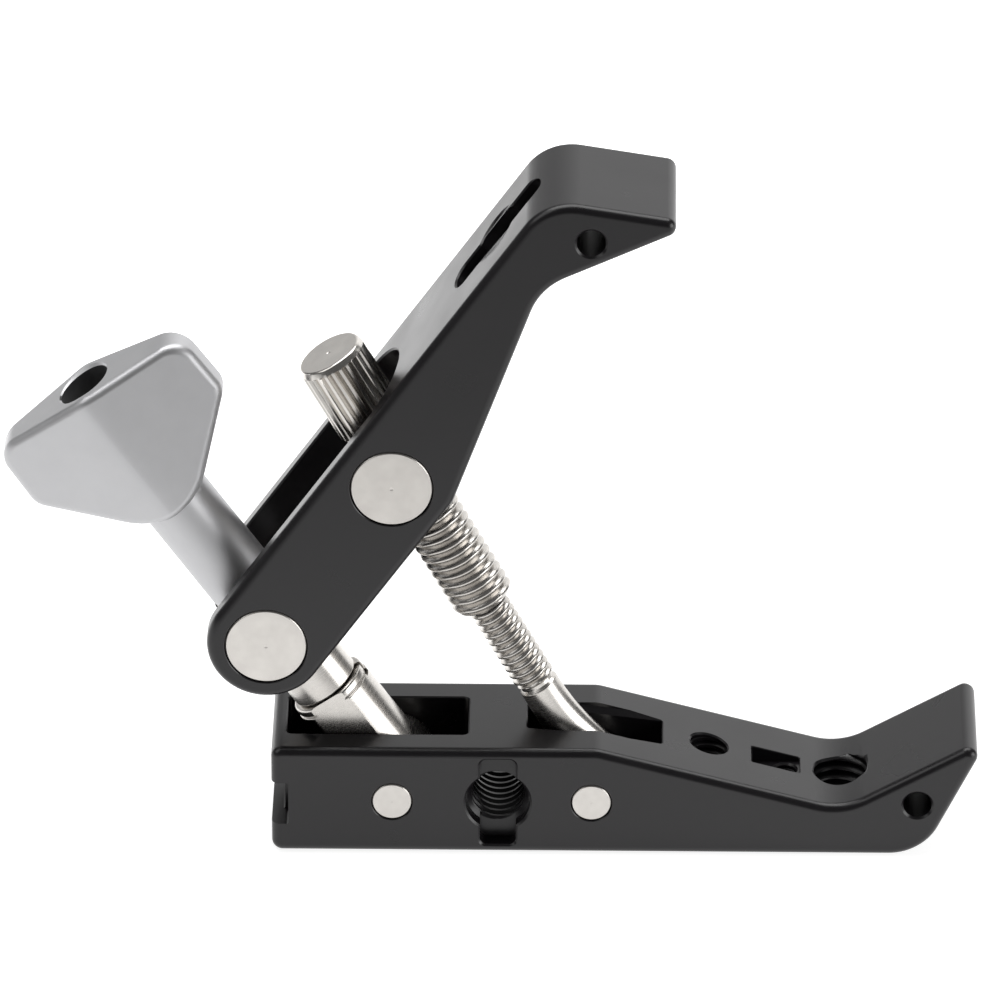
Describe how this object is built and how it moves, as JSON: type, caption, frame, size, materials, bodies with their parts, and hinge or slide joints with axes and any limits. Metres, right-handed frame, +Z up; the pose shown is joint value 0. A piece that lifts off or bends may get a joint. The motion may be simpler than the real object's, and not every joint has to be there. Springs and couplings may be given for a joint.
{
  "type": "super clamp",
  "caption": "Two-jaw aluminium super clamp: slotted base and swinging arm joined by a knob-adjusted double screw and a T-handle screw, with accessory sockets.",
  "frame": {"origin": "on the underside of the base, in the middle plane, below the tripod socket in its sides", "axes": "+X along the base towards the jaws, +Y across the clamp along the pivot pins, +Z up from the underside to the arm"},
  "size_m": [0.1427, 0.021, 0.1074],
  "materials": {
    "anodised_black": "satin black anodised, finely bead blasted",
    "blasted_aluminium": "bead blasted, clear anodised",
    "stainless": "turned stainless steel",
    "nylon_black": "plain"
  },
  "bodies": {
    "base": {"base_body": "anodised_black", "rear_base_pin": "stainless", "front_base_pin": "stainless"},
    "rear_link": {"rear_eye": "stainless", "rear_stud": "stainless", "stud_lock_screw": "stainless"},
    "rear_pivot": {"rear_trunnion": "stainless"},
    "handle": {"t_handle": "blasted_aluminium", "handle_sleeve": "stainless", "handle_screw": "stainless", "lower_thrust_washer": "stainless", "upper_thrust_washer": "stainless"},
    "front_pins": {"front_pivot_pin_front": "stainless", "front_pivot_pin_back": "stainless"},
    "arm": {"arm_body": "anodised_black", "rear_pivot_pin_front": "stainless", "rear_pivot_pin_back": "stainless", "rear_pivot_washer_front": "nylon_black", "rear_pivot_washer_back": "nylon_black"},
    "front_link": {"front_eye_rod": "stainless"},
    "knob_carriage": {"friction_ring": "nylon_black"},
    "knob": {"knurled_knob": "stainless", "screw_tube": "stainless"},
    "front_nut": {"front_trunnion": "stainless", "front_pivot_washer_front": "nylon_black", "front_pivot_washer_back": "nylon_black"}
  },
  "joints": [
    {"name": "rear_link_swing", "type": "hinge", "parent": "base", "child": "rear_link", "pos_m": [-0.0156, 0, 0.0087], "axis": [0, 1, 0], "range_deg": [0, 35.5]},
    {"name": "rear_link_extend", "type": "slide", "parent": "rear_link", "child": "rear_pivot", "axis": [-0.5734, 0, 0.8193], "range_m": [0, 0.00875]},
    {"name": "handle_spin", "type": "hinge", "parent": "rear_pivot", "child": "handle", "pos_m": [-0.0339, 0, 0.03485], "axis": [-0.5734, 0, 0.8193], "range_deg": [-2118, 0]},
    {"name": "arm_swing", "type": "hinge", "parent": "rear_link", "child": "front_pins", "pos_m": [-0.0339, 0, 0.03485], "axis": [0, 1, 0], "range_deg": [0, 16.3]},
    {"name": "arm_tilt", "type": "hinge", "parent": "front_pins", "child": "arm", "pos_m": [-0.0154, 0, 0.06125], "axis": [0, 1, 0], "range_deg": [0, 15.8]},
    {"name": "front_link_swing", "type": "hinge", "parent": "base", "child": "front_link", "pos_m": [0.0138, 0, 0.0087], "axis": [0, 1, 0], "range_deg": [0, 33.8]},
    {"name": "knob_travel", "type": "slide", "parent": "front_link", "child": "knob_carriage", "axis": [-0.4857, 0, 0.8741], "range_m": [-0.0115, 0]},
    {"name": "knob_spin", "type": "hinge", "parent": "knob_carriage", "child": "knob", "pos_m": [-0.0154, 0, 0.06125], "axis": [-0.4857, 0, 0.8741], "range_deg": [-3272, 0]},
    {"name": "nut_travel", "type": "slide", "parent": "front_link", "child": "front_nut", "axis": [-0.4857, 0, 0.8741], "range_m": [-0.02572, 0]}
  ],
  "couplings": [
    {"joint": "rear_link_swing", "follows": "nut_travel", "rad_per_m": -23.956},
    {"joint": "arm_swing", "follows": "nut_travel", "rad_per_m": -10.994},
    {"joint": "front_link_swing", "follows": "nut_travel", "rad_per_m": -22.803},
    {"joint": "knob_travel", "follows": "nut_travel", "ratio": 0.44444},
    {"joint": "knob_spin", "follows": "nut_travel", "rad_per_m": 2198.8},
    {"joint": "handle_spin", "follows": "rear_link_extend", "rad_per_m": -4188.8},
    {"joint": "arm_tilt", "follows": "rear_link_extend", "rad_per_m": 31.316}
  ]
}
